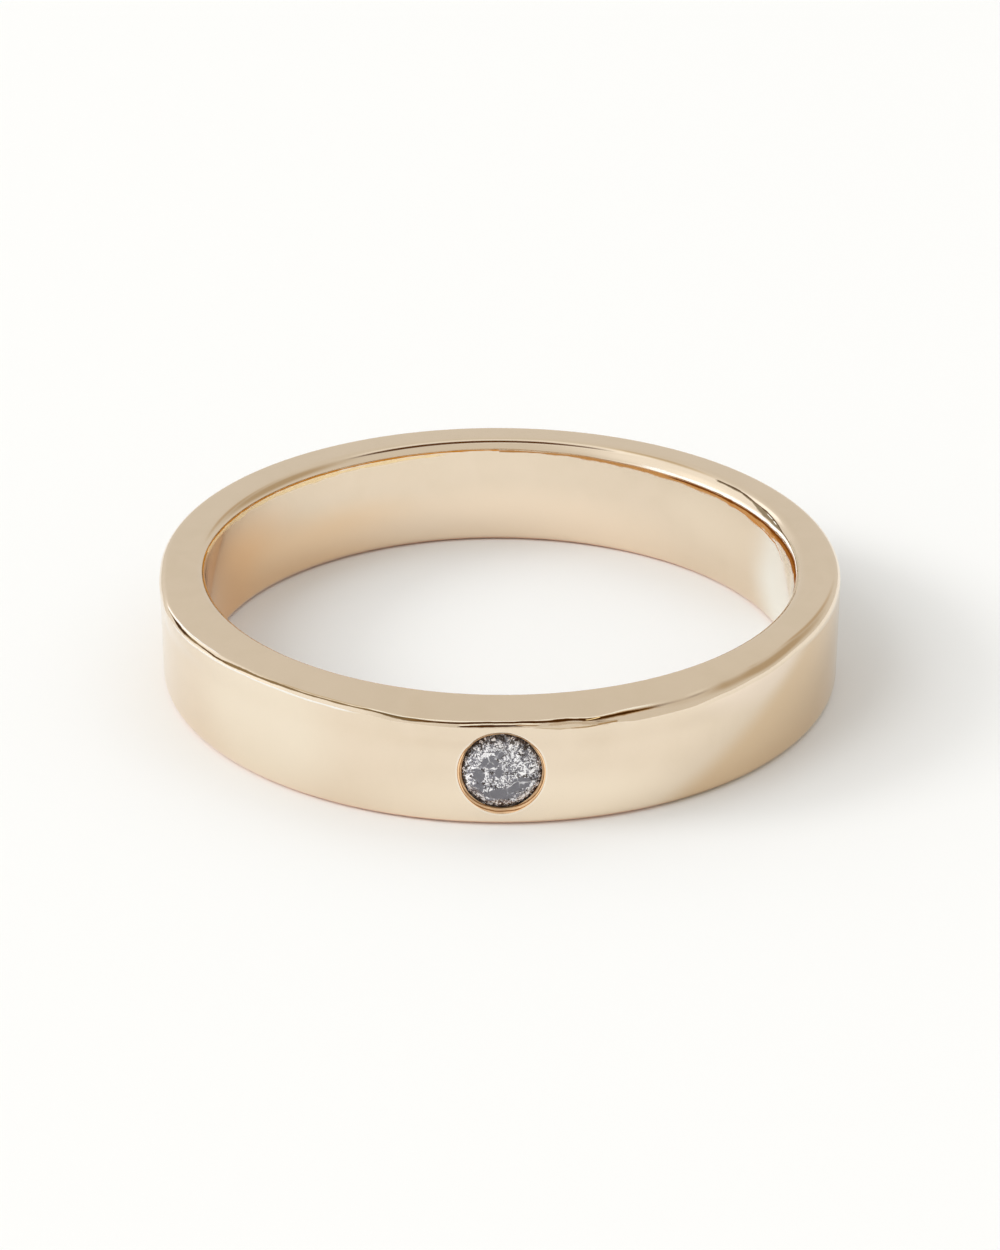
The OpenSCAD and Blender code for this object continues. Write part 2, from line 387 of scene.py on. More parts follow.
@dataclass(frozen=True)
class PolishedGold:
    """Pale 14 carat gold, machine polished, with the fine lines that polishing leaves.

    A ramp holds the two values between which a share goes from 0 to 1. Sizes and heights are
    millimetres. The polishing lines are in the roughness and the bumps. The lines of colour along
    the edges, the soft changes of tone on the walls, the foot, the shade on the right and the light
    line round the stone's mouth are painted reflections, painted highlights and painted shade.
    """

    color: Color = (0.85, 0.722, 0.57)
    deep_color: Color = (0.825, 0.70, 0.545)
    deep_ramp: Ramp = (0.3, 0.8)
    roughness: float = 0.10
    cloud_grain: Grain = Grain(0.9, 4.0, 0.6, 0.4)
    cloud_ramp: Ramp = (0.35, 0.75)
    cloud_roughness: float = 0.04
    line_grain: Grain = Grain(3.0, 5.0, 0.62)
    line_scale_along: float = 0.16
    line_scale_across: float = 6.0
    line_roughness: float = 0.10
    line_height: float = 0.00035
    line_share_outside: float = 0.2
    bore_ramp: Ramp = (8.95, 8.75)
    wave_grain: Grain = Grain(0.55, 2.0, 0.45)
    wave_height: float = 0.0022
    fleck_grain: Grain = Grain(9.0, 3.0, 0.6)
    fleck_height: float = 0.00008
    # Painted shade: warmer and darker at the foot, where the band meets the floor
    foot_shade_color: Color = (0.95, 0.62, 0.46)
    foot_shade_z: float = 0.17
    # Painted shade: the floor's shadow as it would be mirrored on the right of the outer wall, with
    # a slanted edge
    shade_color: Color = (0.79, 0.61, 0.41)
    shade_start: float = 25.0
    shade_lean: float = 10.5
    shade_ramp: Ramp = (-4.0, 6.0)
    shade_end: Ramp = (100.0, 80.0)
    shade_top: Ramp = (4.0, 4.1)
    front_ramp: Ramp = (-9.0, -9.4)
    cut_color: Color = (1.0, 0.70, 0.42)
    cut_polish: float = 0.5
    cut_roughness: float = 0.30
    score_color: Color = (0.42, 0.17, 0.05)
    score_turns: float = 110.0
    score_wander: float = 3.0
    score_ramp: Ramp = (0.0, 0.8)
    mouth_centre: Place = (-0.005, -9.97, 1.635)
    mouth_half_width: float = 1.185
    mouth_half_height: float = 1.235
    mouth_ramp: Ramp = (1.018, 1.0)
    # Painted highlight: a light line round the stone's mouth
    mouth_highlight_color: Color = (1.0, 0.96, 0.88)
    mouth_highlight_r: float = 1.03
    mouth_highlight_ramp: Ramp = (0.028, 0.010)
    mouth_highlight_strength: float = 0.4
    # A noise varies the width of the painted edge reflections
    width_jitter_grain: Grain = Grain(1.3, 3.0, 0.6)
    width_jitter_gain: float = 2.4
    width_jitter_base: float = -0.2
    bore_tint_ramp: Ramp = (8.70, 8.655)
    wall_tint_ramp: Ramp = (4.0, 4.03)
    # Painted reflections: soft changes of tone on the inner wall, then on the outer wall
    reflection_tints: tuple[ReflectionTint, ...] = (
        ReflectionTint(-100.0, 30.0, 1.2, 1.9, (0.94, 0.63, 0.36)),
        ReflectionTint(-142.0, 26.0, 0.5, 1.3, (0.96, 0.72, 0.48), 0.8),
        ReflectionTint(176.0, 34.0, 0.5, 1.3, (0.94, 0.79, 0.62)),
        ReflectionTint(102.0, 13.0, 2.0, 2.2, (1.0, 1.0, 0.94)),
        ReflectionTint(126.0, 16.0, 2.4, 1.2, (0.90, 0.78, 0.62), 0.6),
    )
    wall_reflection_tints: tuple[ReflectionTint, ...] = (
        ReflectionTint(-42.0, 14.0, 1.9, 2.2, (0.93, 0.83, 0.68), 0.7),
        ReflectionTint(6.0, 26.0, 0.5, 1.0, (0.94, 0.82, 0.655), 0.8),
        ReflectionTint(46.0, 12.0, 3.1, 0.8, (0.92, 0.79, 0.65)),
    )
    # Painted reflections and painted highlights: fine lines of colour along the rounded edges
    lines: tuple[PaintedEdgeReflection, ...] = (
        # Inner rounding, right and back
        PaintedEdgeReflection((
            (84, 1.28, 0.035), (92, 1.29, 0.04), (103, 1.28, 0.06), (112, 1.25, 0.065),
            (120, 1.22, 0.06), (146, 1.22, 0.05)), (0.93, 0.91, 0.86), matt=1.0),
        PaintedEdgeReflection((
            (102, 1.0, 0.14), (111, 1.0, 0.16), (116, 1.01, 0.14), (123, 1.04, 0.11),
            (140, 1.05, 0.08), (152, 1.05, 0.07), (166, 1.03, 0.05), (179, 1.0, 0.04)),
            (0.5, 0.25, 0.085), matt=0.75),
        PaintedEdgeReflection((
            (30, 1.04, 0.03), (60, 1.02, 0.1), (82, 0.98, 0.34), (91.8, 0.99, 0.3),
            (96, 1.0, 0.22), (104, 1.01, 0.15), (107, 1.05, 0.08)), (0.27, 0.095, 0.016), matt=1.0),
        PaintedEdgeReflection((
            (40, 1.12, 0.03), (80, 1.12, 0.09), (91, 1.1, 0.09), (102, 1.09, 0.075),
            (112, 1.12, 0.065), (123, 1.1, 0.055), (140, 1.09, 0.04)), (0.15, 0.042, 0.004),
            matt=1.0),
        PaintedEdgeReflection((
            (70, 1.46, 0.12), (92, 1.44, 0.1), (99, 1.42, 0.05)), (0.46, 0.39, 0.29), fade=2.0,
            matt=0.9),
        PaintedEdgeReflection((
            (102.5, 0.52, 0.008), (104.2, 0.68, 0.022), (106.5, 0.8, 0.028), (111.5, 0.86, 0.03),
            (119.8, 0.94, 0.03), (124, 0.97, 0.025)), (0.46, 0.2, 0.055), fade=2.0, matt=0.8),
        PaintedEdgeReflection((
            (104.5, 1.38, 0.03), (107.5, 1.39, 0.075), (111.2, 1.41, 0.11), (113.5, 1.43, 0.11),
            (116, 1.475, 0.085), (118.8, 1.535, 0.04), (122.8, 1.62, 0.04), (130, 1.62, 0.035)),
            (0.17, 0.125, 0.065), fade=1.0, strength=0.9, matt=0.7),
        PaintedEdgeReflection((
            (98.5, 1.37, 0.018), (104.2, 1.385, 0.022), (107.2, 1.46, 0.026), (113, 1.54, 0.026),
            (118, 1.56, 0.022), (120.5, 1.6, 0.026), (124, 1.65, 0.03), (130, 1.64, 0.02)),
            (0.1, 0.06, 0.03), fade=1.5, matt=0.9),
        PaintedEdgeReflection((
            (108.2, 1.43, 0.014), (109.2, 1.44, 0.014)), (0.95, 0.93, 0.85), fade=0.5, matt=1.0),
        PaintedEdgeReflection((
            (110.6, 1.47, 0.013), (112.4, 1.49, 0.013)), (0.95, 0.93, 0.85), fade=0.5, matt=1.0),
        # Inner rounding, left and back, and the rim at the left front
        PaintedEdgeReflection((
            (-179, 1.04, 0.045), (-160, 1.05, 0.045), (-145, 1.06, 0.05), (-128, 1.09, 0.05),
            (-113, 1.14, 0.05), (-102.5, 1.22, 0.05), (-94, 1.32, 0.06), (-86, 1.38, 0.07)),
            (0.64, 0.25, 0.015), matt=0.9),
        PaintedEdgeReflection((
            (-166, 0.95, 0.04), (-145, 0.95, 0.06), (-129, 0.96, 0.075), (-114, 1.01, 0.08),
            (-104, 1.08, 0.09), (-96, 1.19, 0.1)), (1.0, 0.79, 0.48), matt=0.5),
        PaintedEdgeReflection((
            (-84, 1.4, 0.1), (-70, 1.44, 0.11), (-16, 1.7, 0.11)), (0.66, 0.3, 0.06), matt=0.7),
        # Outer rounding, from the left to the front
        PaintedEdgeReflection((
            (-70.8, 3.37, 0.04), (-66.5, 3.3, 0.06), (-62.5, 3.2, 0.07), (-58.5, 3.12, 0.06),
            (-52, 3.14, 0.03)), (0.95, 0.93, 0.9), fade=1.0, matt=0.6),
        PaintedEdgeReflection((
            (-70, 3.5, 0.03), (-67, 3.53, 0.08), (-62.8, 3.6, 0.19), (-58.5, 3.57, 0.17),
            (-55, 3.6, 0.12), (-51.8, 3.7, 0.12), (-47.5, 3.66, 0.21), (-43.8, 3.58, 0.18),
            (-36, 3.5, 0.12), (-29, 3.45, 0.12), (-22, 3.42, 0.13), (-19, 3.42, 0.16),
            (-16.5, 3.4, 0.22), (-14, 3.46, 0.23), (-11.2, 3.46, 0.17), (-8.8, 3.45, 0.1)),
            (0.22, 0.14, 0.06), fade=1.5, matt=0.5),
        PaintedEdgeReflection((
            (-67, 3.53, 0.07), (-64.5, 3.57, 0.14), (-62, 3.57, 0.13), (-60, 3.52, 0.05)),
            (0.05, 0.022, 0.008), fade=1.0, matt=0.9),
        PaintedEdgeReflection((
            (-55, 3.62, 0.06), (-52, 3.72, 0.08), (-49.5, 3.72, 0.05)), (0.08, 0.035, 0.01),
            fade=1.5, matt=0.8),
        PaintedEdgeReflection(((-64, 4.01, 0.012), (-26, 4.01, 0.012)), (1.0, 0.99, 0.96), strength=0.8),
        PaintedEdgeReflection((
            (-20, 3.2, 0.05), (-4, 3.12, 0.06), (22, 3.12, 0.05)), (1.0, 0.94, 0.8), strength=0.7,
            matt=0.6),
        PaintedEdgeReflection((
            (-12, 3.46, 0.09), (-8, 3.42, 0.13), (-4, 3.33, 0.14), (2.8, 3.31, 0.17),
            (7.8, 3.42, 0.27), (12.5, 3.42, 0.25), (15.8, 3.34, 0.18), (19.2, 3.38, 0.16),
            (23, 3.31, 0.08)), (0.42, 0.22, 0.07), fade=4.0, matt=0.6),
        PaintedEdgeReflection((
            (-12, 3.46, 0.08), (-8, 3.42, 0.12), (-4, 3.33, 0.13), (2.8, 3.31, 0.15),
            (7.8, 3.42, 0.22), (12.5, 3.42, 0.2), (15.8, 3.34, 0.12), (19.2, 3.38, 0.1),
            (23, 3.31, 0.03)), (0.055, 0.017, 0.002), fade=4.0, matt=0.9),
        PaintedEdgeReflection((
            (-6, 3.62, 0.07), (-4, 3.56, 0.09), (0, 3.53, 0.09), (3, 3.53, 0.08),
            (5.5, 3.6, 0.06)), (1.0, 0.88, 0.68), fade=1.0, matt=0.8),
        PaintedEdgeReflection(((13.2, 3.44, 0.05), (15.2, 3.24, 0.05)), (1.0, 0.72, 0.34), fade=0.3, matt=0.9),
        # Painted reflections: the second line, and the wedge that the worn edge mirrors below it
        PaintedEdgeReflection((
            (-6.2, 3.84, 0.09), (-4.2, 3.78, 0.16), (-1.5, 3.75, 0.17), (2.8, 3.73, 0.13)),
            (0.06, 0.018, 0.002), fade=0.8, matt=0.9),
        PaintedEdgeReflection(((2.8, 3.71, 0.07), (5.2, 3.79, 0.08)), (0.42, 0.27, 0.15), fade=1.0, matt=0.4),
        PaintedEdgeReflection((
            (6, 4.0, 0.012), (7, 4.005, 0.022), (9, 4.015, 0.039), (11.5, 4.014, 0.039),
            (13, 4.007, 0.03), (15, 3.998, 0.014)), (0.69, 0.565, 0.42), fade=1.0),
        PaintedEdgeReflection((
            (7.5, 3.84, 0.15), (12, 3.82, 0.18), (16, 3.82, 0.17), (17.8, 3.86, 0.1)),
            (0.64, 0.5, 0.35), fade=0.6, matt=0.3),
        PaintedEdgeReflection((
            (5.5, 4.01, 0.006), (7, 4.028, 0.007), (9, 4.048, 0.008), (11.5, 4.046, 0.009)),
            (0.56, 0.42, 0.27), fade=1.0),
        PaintedEdgeReflection((
            (11, 4.046, 0.01), (12.8, 4.032, 0.011), (15.2, 4.003, 0.01)), (0.42, 0.27, 0.13),
            fade=0.5, matt=0.4),
        PaintedEdgeReflection(((15, 3.96, 0.05), (17.8, 3.9, 0.07)), (0.42, 0.25, 0.1), fade=0.4, matt=0.4),
    )

    def material(self) -> Material:
        """Builds the metal.

        Returns:
            The material.
        """
        made = bpy.data.materials.new("polished_gold")
        made.use_nodes = True
        s = BandShader(made.node_tree)
        cloud = s.noise(s.at, self.cloud_grain)
        rough, normal = self._surface(s, cloud)
        # Painted light goes into the colour: reflections on the walls and along the edges, shade at
        # the foot and on the right, a highlight round the mouth
        tone, polish = self._edge_lines(s, self._tinted(s, cloud))
        cut, tone = self._seat(s, cloud, self._shaded(s, tone))
        s.show("OutputMaterial", s.node(
            "BsdfPrincipled", None, Base_Color=tone, Normal=normal, Specular_IOR_Level=0.0,
            Metallic=s.product(polish, s.add_product(1.0, cut, self.cut_polish - 1.0)),
            Roughness=s.add_product(rough, cut, self.cut_roughness)))
        return made

    def _surface(self, s: BandShader, cloud: Socket) -> tuple[Socket, Socket]:
        """Builds the polishing lines, the slow waves and the flecks.

        Args:
            s: The shader.
            cloud: The slow noise.

        Returns:
            The roughness and the normal.
        """
        round_band = s.product(s.math("ARCTAN2", s.y, s.x), s.radius)
        stretched = s.node("CombineXYZ", None, X=s.product(round_band, self.line_scale_along),
                           Y=s.product(s.radius, self.line_scale_across),
                           Z=s.product(s.z, self.line_scale_across)).outputs[0]
        lines = s.noise(stretched, self.line_grain)
        share = s.smooth(s.radius, *self.bore_ramp, self.line_share_outside, 1.0)
        rough = s.add_product(self.roughness, s.math("SUBTRACT", lines, NOISE_MIDDLE),
                              s.product(share, self.line_roughness))
        rough = s.add_product(rough, s.smooth(cloud, *self.cloud_ramp), self.cloud_roughness)
        height = s.product(s.noise(s.at, self.wave_grain), self.wave_height)
        height = s.add_product(height, s.product(lines, share), self.line_height)
        height = s.add_product(height, s.noise(s.at, self.fleck_grain), self.fleck_height)
        return rough, s.node("Bump", None, Height=height, Distance=MM, Strength=1.0).outputs[0]

    def _tinted(self, s: BandShader, cloud: Socket) -> Socket:
        """Builds the metal's colour, with painted reflections as soft changes of tone on both
        walls.

        Args:
            s: The shader.
            cloud: The slow noise.

        Returns:
            The colour.
        """
        tone = s.blend(s.smooth(cloud, *self.deep_ramp), self.color, self.deep_color)
        for reflection_tints, on_wall in ((self.reflection_tints, s.smooth(s.radius, *self.bore_tint_ramp)),
                               (self.wall_reflection_tints, s.smooth(s.across, *self.wall_tint_ramp))):
            tinted = tone
            for tint in reflection_tints:
                tinted = tint.over(s, tinted)
            tone = s.blend(on_wall, tone, tinted)
        return tone

    def _edge_lines(self, s: BandShader, tone: Socket) -> tuple[Socket, Value]:
        """Lays the painted reflections and painted highlights along the edges over a colour.

        Args:
            s: The shader.
            tone: The colour so far.

        Returns:
            The new colour, and how far the metal mirrors what is round it.
        """
        # A noise varies the width of each painted line
        width_jitter = s.add_product(self.width_jitter_base, s.noise(s.at, self.width_jitter_grain), self.width_jitter_gain)
        polish = 1.0
        for line in self.lines:
            tone, polish = line.over(s, width_jitter, tone, polish)
        return tone, polish

    def _shaded(self, s: BandShader, tone: Socket) -> Socket:
        """Lays painted shade over a colour: warmer and darker at the foot, and on the right of the
        outer wall the floor's shadow as it would be mirrored.

        Args:
            s: The shader.
            tone: The colour so far.

        Returns:
            The new colour.
        """
        # Painted shade: warmer and darker towards the foot, where the band meets the floor
        tone = s.blend(s.smooth(s.z, self.foot_shade_z, 0.0), tone, self.foot_shade_color)
        # Painted shade: the mirrored floor shadow on the right of the outer wall
        past = s.math("SUBTRACT", s.azimuth, s.add_product(self.shade_start, s.z,
                                                           self.shade_lean))
        shade = s.product(s.smooth(past, *self.shade_ramp), s.smooth(s.azimuth, *self.shade_end),
                          s.smooth(s.across, *self.shade_top))
        return s.blend(shade, tone, self.shade_color)

    def _seat(self, s: BandShader, cloud: Socket, tone: Socket) -> tuple[Socket, Socket]:
        """Lays the scored bevel round the stone, and a painted highlight round its mouth, over
        a colour.

        Args:
            s: The shader.
            cloud: The slow noise.
            tone: The colour so far.

        Returns:
            How much of the point is in the bevel, and the new colour.
        """
        in_front = s.smooth(s.y, *self.front_ramp)
        mouth = s.vector("MULTIPLY", s.vector("SUBTRACT", s.at, self.mouth_centre),
                         (1.0 / self.mouth_half_width, 0.0, 1.0 / self.mouth_half_height))
        mouth_r = s.vector("LENGTH", mouth, output="Value")
        cut = s.product(in_front, s.smooth(mouth_r, *self.mouth_ramp))
        # Painted highlight: a light line round the mouth
        off_mouth_highlight = s.math("ABSOLUTE", s.math("SUBTRACT", mouth_r, self.mouth_highlight_r))
        mouth_highlight = s.product(s.smooth(off_mouth_highlight, *self.mouth_highlight_ramp), in_front, self.mouth_highlight_strength)
        flat = s.vector("MULTIPLY", s.vector("SUBTRACT", s.at, STONE_CENTRE), (1.0, 0.0, 1.0))
        score = s.math("SINE", s.add_product(s.product(cloud, self.score_wander),
                                             s.vector("LENGTH", flat, output="Value"),
                                             self.score_turns))
        scored = s.blend(s.smooth(score, *self.score_ramp), self.cut_color, self.score_color)
        return cut, s.blend(cut, s.blend(mouth_highlight, tone, self.mouth_highlight_color), scored)


@dataclass(frozen=True)
class CalmSpot:
    """A part of the stone where no crack shows, by its middle and half sizes in millimetres."""

    x: float
    z: float
    half_x: float
    half_z: float
    side_ramp: Ramp = (1.5, 0.7)

    def share(self, s: Shader, x: Socket, z: Socket) -> Socket:
        """Gives how much of a point is inside the spot.

        Args:
            s: The shader.
            x: Place to the right of the stone's middle.
            z: Place above it.

        Returns:
            1 inside, 0 outside.
        """
        u = s.math("DIVIDE", s.math("SUBTRACT", x, self.x), self.half_x)
        v = s.math("DIVIDE", s.math("SUBTRACT", z, self.z), self.half_z)
        return s.smooth(s.math("ADD", s.product(u, u), s.product(v, v)), *self.side_ramp)


@dataclass(frozen=True)
class GreyDiamond:
    """A cloudy grey diamond, full of white cracks and dark specks under its polished facets.

    A ramp holds the two values between which a share goes from 0 to 1. The chips are a noise of
    flat shards and streaks, turned another way in each cell. Glints and fine bright lines along the
    cells' edges are painted highlights, and the dark towards the rim is partly painted shade under
    the gold's lip.
    """

    slate: Color = (0.014, 0.012, 0.034)
    haze: Color = (0.16, 0.155, 0.20)
    white: Color = (0.97, 0.97, 1.0)
    dark: Color = (0.035, 0.022, 0.014)
    roughness: float = 0.06
    cracks_and_highlights_roughness: float = 0.25
    ior: float = 2.42
    bend_grain: Grain = Grain(3.5, 3.0)
    bend: float = 0.18
    cell_scale: float = 4.6
    cell_depth: float = 9.0
    streaks_along: float = 4.5
    streaks_across: float = 14.0
    streak_grain: Grain = Grain(1.6, 3.0, 0.65)
    streak_share: float = 0.5
    streak_height: float = 0.02
    streak_bump: float = 0.5
    shard_scale: float = 1.5
    shard_share: float = 0.62
    gather_grain: Grain = Grain(2.6, 3.0, 0.6, 0.6)
    gather_pull: float = 0.40
    calm_pull: float = -0.36
    haze_ramp: Ramp = (0.55, 0.98)
    soft_ramp: Ramp = (0.40, 0.65)
    soft_share: float = 0.27
    crack_ramp: Ramp = (0.895, 0.92)
    crack_gain: float = 0.50
    crack_base: float = 0.58
    # Painted glints: fine white highlights
    glint_grain: Grain = Grain(22.0, 2.0, 0.65, 0.6)
    glint_pull: float = 0.8
    glint_ramp: Ramp = (0.73, 0.752)
    # Painted highlights along the cells' edges, like facet edges
    facet_scale: float = 2.3
    facet_highlight_ramp: Ramp = (0.045, 0.01)
    facet_highlight_gather_ramp: Ramp = (0.40, 0.60)
    facet_highlight_share: float = 0.65
    speck_grain: Grain = Grain(9.5, 2.0, 0.6, 0.9)
    # Dark specks crowd towards the rim, partly as painted shade under the gold's lip
    rim_speck_and_shade_ramp: Ramp = (0.86, 1.10)
    rim_speck_and_shade_pull: float = 0.16
    speck_calm_pull: float = -0.2
    speck_ramp: Ramp = (0.595, 0.625)
    speck_share: float = 0.9
    pit_ramp: Ramp = (0.50, 0.46)
    pit_calm_ramp: Ramp = (0.5, 0.1)
    pit_share: float = 0.85
    calm: tuple[CalmSpot, ...] = (
        CalmSpot(-0.31, 0.36, 0.20, 0.16), CalmSpot(-0.62, -0.03, 0.13, 0.19),
        CalmSpot(-0.62, -0.42, 0.15, 0.14), CalmSpot(-0.05, -0.62, 0.38, 0.13),
        CalmSpot(0.55, -0.24, 0.22, 0.15), CalmSpot(-0.06, 0.62, 0.11, 0.09),
        CalmSpot(0.30, -0.45, 0.20, 0.12), CalmSpot(-0.08, 0.03, 0.10, 0.12),
    )

    def material(self) -> Material:
        """Builds the stone.

        Returns:
            The material.
        """
        made = bpy.data.materials.new("grey_diamond")
        made.use_nodes = True
        s = Shader(made.node_tree)
        local = s.vector("SUBTRACT", s.position_mm(), STONE_CENTRE)
        shift = s.vector("SUBTRACT", s.noise(local, self.bend_grain, "Color"),
                         (NOISE_MIDDLE,) * 3)
        bent = s.vector("MULTIPLY_ADD", shift, (self.bend,) * 3, local)
        x, _, z = s.split(bent)
        calm = 0.0
        for spot in self.calm:
            calm = s.math("MAXIMUM", calm, spot.share(s, x, z))
        gather = s.noise(local, self.gather_grain)
        crowd = s.add_product(s.product(gather, self.gather_pull), calm, self.calm_pull)
        kinds = s.cells(bent, self.cell_scale)
        grain = self._grain(s, x, z, kinds)
        streaks = s.noise(grain, self.streak_grain)
        shards = s.product(s.cells(grain, self.shard_scale)[0], self.shard_share)
        chips = s.math("ADD", s.add_product(shards, streaks, self.streak_share), crowd)
        # Painted glints: fine white highlights in the stone's colour; the same noise gives the soft
        # haze
        fine = s.noise(local, self.glint_grain)
        crack = s.product(s.smooth(chips, *self.crack_ramp),
                          s.add_product(self.crack_base, kinds[2], self.crack_gain))
        glint = s.smooth(s.add_product(fine, crowd, self.glint_pull), *self.glint_ramp)
        # The white cracks, with the painted glints and the painted highlights along the cells'
        # edges
        cracks_and_highlights = s.math("MAXIMUM", s.math("MAXIMUM", crack, glint), self._facet_highlights(s, bent, gather))
        grey = s.blend(s.smooth(chips, *self.haze_ramp), self.slate, self.haze)
        grey = s.blend(s.smooth(fine, *self.soft_ramp, 0.0, self.soft_share), grey, self.haze)
        bump = s.node("Bump", None, Height=streaks, Distance=self.streak_height * MM,
                      Strength=self.streak_bump)
        gloss = s.node("BsdfPrincipled", None, Base_Color=s.blend(cracks_and_highlights, grey, self.white),
                       IOR=self.ior, Normal=bump.outputs[0],
                       Roughness=s.add_product(self.roughness, cracks_and_highlights, self.cracks_and_highlights_roughness))
        mixed = s.node("MixShader", None,
                       Fac=s.product(self._specks(s, local, chips, calm), self.speck_share))
        s.feed(mixed.inputs[1], gloss.outputs[0])
        s.feed(mixed.inputs[2], s.node("BsdfDiffuse", None, Color=self.dark).outputs[0])
        s.show("OutputMaterial", mixed)
        return made

    def _grain(self, s: Shader, x: Socket, z: Socket, kinds: Sequence[Socket]) -> Socket:
        """Turns the stone's grain another way in each cell, and draws it out along that way.

        Args:
            s: The shader.
            x: Place to the right of the stone's middle, bent.
            z: Place above it, bent.
            kinds: The cell's chance numbers.

        Returns:
            The vector that the chips are read at.
        """
        turn = s.product(kinds[0], math.tau)
        cosine, sine = s.math("COSINE", turn), s.math("SINE", turn)
        along = s.math("ADD", s.product(x, cosine), s.product(z, sine))
        across = s.math("SUBTRACT", s.product(z, cosine), s.product(x, sine))
        return s.node("CombineXYZ", None, X=s.product(along, self.streaks_along),
                      Y=s.product(across, self.streaks_across),
                      Z=s.product(kinds[1], self.cell_depth)).outputs[0]

    def _facet_highlights(self, s: Shader, bent: Socket, gather: Socket) -> Socket:
        """Builds painted highlights: fine bright lines along the cells' edges, like facet edges,
        where the flaws gather.

        Args:
            s: The shader.
            bent: The place in the stone, bent.
            gather: The slow noise that the flaws gather by.

        Returns:
            How much of a painted highlight shows.
        """
        cell_edges = s.node("TexVoronoi", {"feature": "DISTANCE_TO_EDGE"}, Vector=bent,
                       Scale=self.facet_scale).outputs["Distance"]
        return s.product(s.smooth(cell_edges, *self.facet_highlight_ramp),
                         s.smooth(gather, *self.facet_highlight_gather_ramp, 0.0, self.facet_highlight_share))

    def _specks(self, s: Shader, local: Socket, chips: Socket, calm: Socket) -> Socket:
        """Builds the dark specks, which crowd at the rim partly as painted shade under the gold's
        lip, and the pits between the chips.

        Args:
            s: The shader.
            local: The place from the stone's middle.
            chips: The noise of the chips.
            calm: How calm this part of the stone is.

        Returns:
            How much of a speck shows.
        """
        x, _, z = s.split(local)
        # More dark specks towards the rim: partly specks, partly painted shade under the gold's lip
        rim = s.smooth(s.hypot(x, z), *self.rim_speck_and_shade_ramp, 0.0, self.rim_speck_and_shade_pull)
        specks = s.math("ADD", s.noise(local, self.speck_grain), rim)
        specks = s.add_product(specks, calm, self.speck_calm_pull)
        pit = s.product(s.smooth(chips, *self.pit_ramp),
                        s.smooth(calm, *self.pit_calm_ramp, 0.0, self.pit_share))
        return s.math("MAXIMUM", s.smooth(specks, *self.speck_ramp), pit)


@dataclass(frozen=True)
class PaperFloor:
    """Matt pale paper."""

    color: Color = (0.885, 0.888, 0.885)

    def material(self) -> Material:
        """Builds the paper.

        Returns:
            The material.
        """
        made = bpy.data.materials.new("pale_paper")
        made.use_nodes = True
        s = Shader(made.node_tree)
        s.show("OutputMaterial", s.node("BsdfDiffuse", None, Color=self.color, Roughness=0.0))
        return made


def deselect_all() -> None:
    """Leaves object mode with nothing selected."""
    if bpy.context.object and bpy.context.object.mode != "OBJECT":
        bpy.ops.object.mode_set(mode="OBJECT")
    bpy.ops.object.select_all(action="DESELECT")


def make_active(piece: Piece) -> None:
    """Selects one object alone and makes it the active one.

    Args:
        piece: The object.
    """
    deselect_all()
    piece.select_set(True)
    bpy.context.view_layer.objects.active = piece


def select_where(piece: Piece, kind: str, test: Callable[[Vector], bool]) -> None:
    """Selects the vertices or edges whose middle passes a test, in edit mode.

    Args:
        piece: The object, which is in edit mode.
        kind: "VERT" or "EDGE".
        test: Given a middle in metres, says whether it is taken.
    """
    bpy.ops.mesh.select_mode(type=kind)
    bpy.ops.mesh.select_all(action="DESELECT")
    mesh = bmesh.from_edit_mesh(piece.data)
    if kind == "VERT":
        found = [v for v in mesh.verts if test(v.co)]
    else:
        found = [e for e in mesh.edges if test((e.verts[0].co + e.verts[1].co) / 2)]
    for part in found:
        part.select_set(True)
    mesh.select_flush_mode()
    bmesh.update_edit_mesh(piece.data)


def apply_modifier(piece: Piece, kind: str, **settings: object) -> None:
    """Adds one modifier and applies it.

    Args:
        piece: The object.
        kind: The modifier's type.
        **settings: Its options.
    """
    make_active(piece)
    added = piece.modifiers.new(kind.title(), kind)
    for name, value in settings.items():
        setattr(added, name, value)
    bpy.ops.object.modifier_apply(modifier=added.name)


def dress(piece: Piece, material: Material) -> None:
    """Gives a piece one material.

    Args:
        piece: The object.
        material: Its finish.
    """
    piece.data.materials.clear()
    piece.data.materials.append(material)


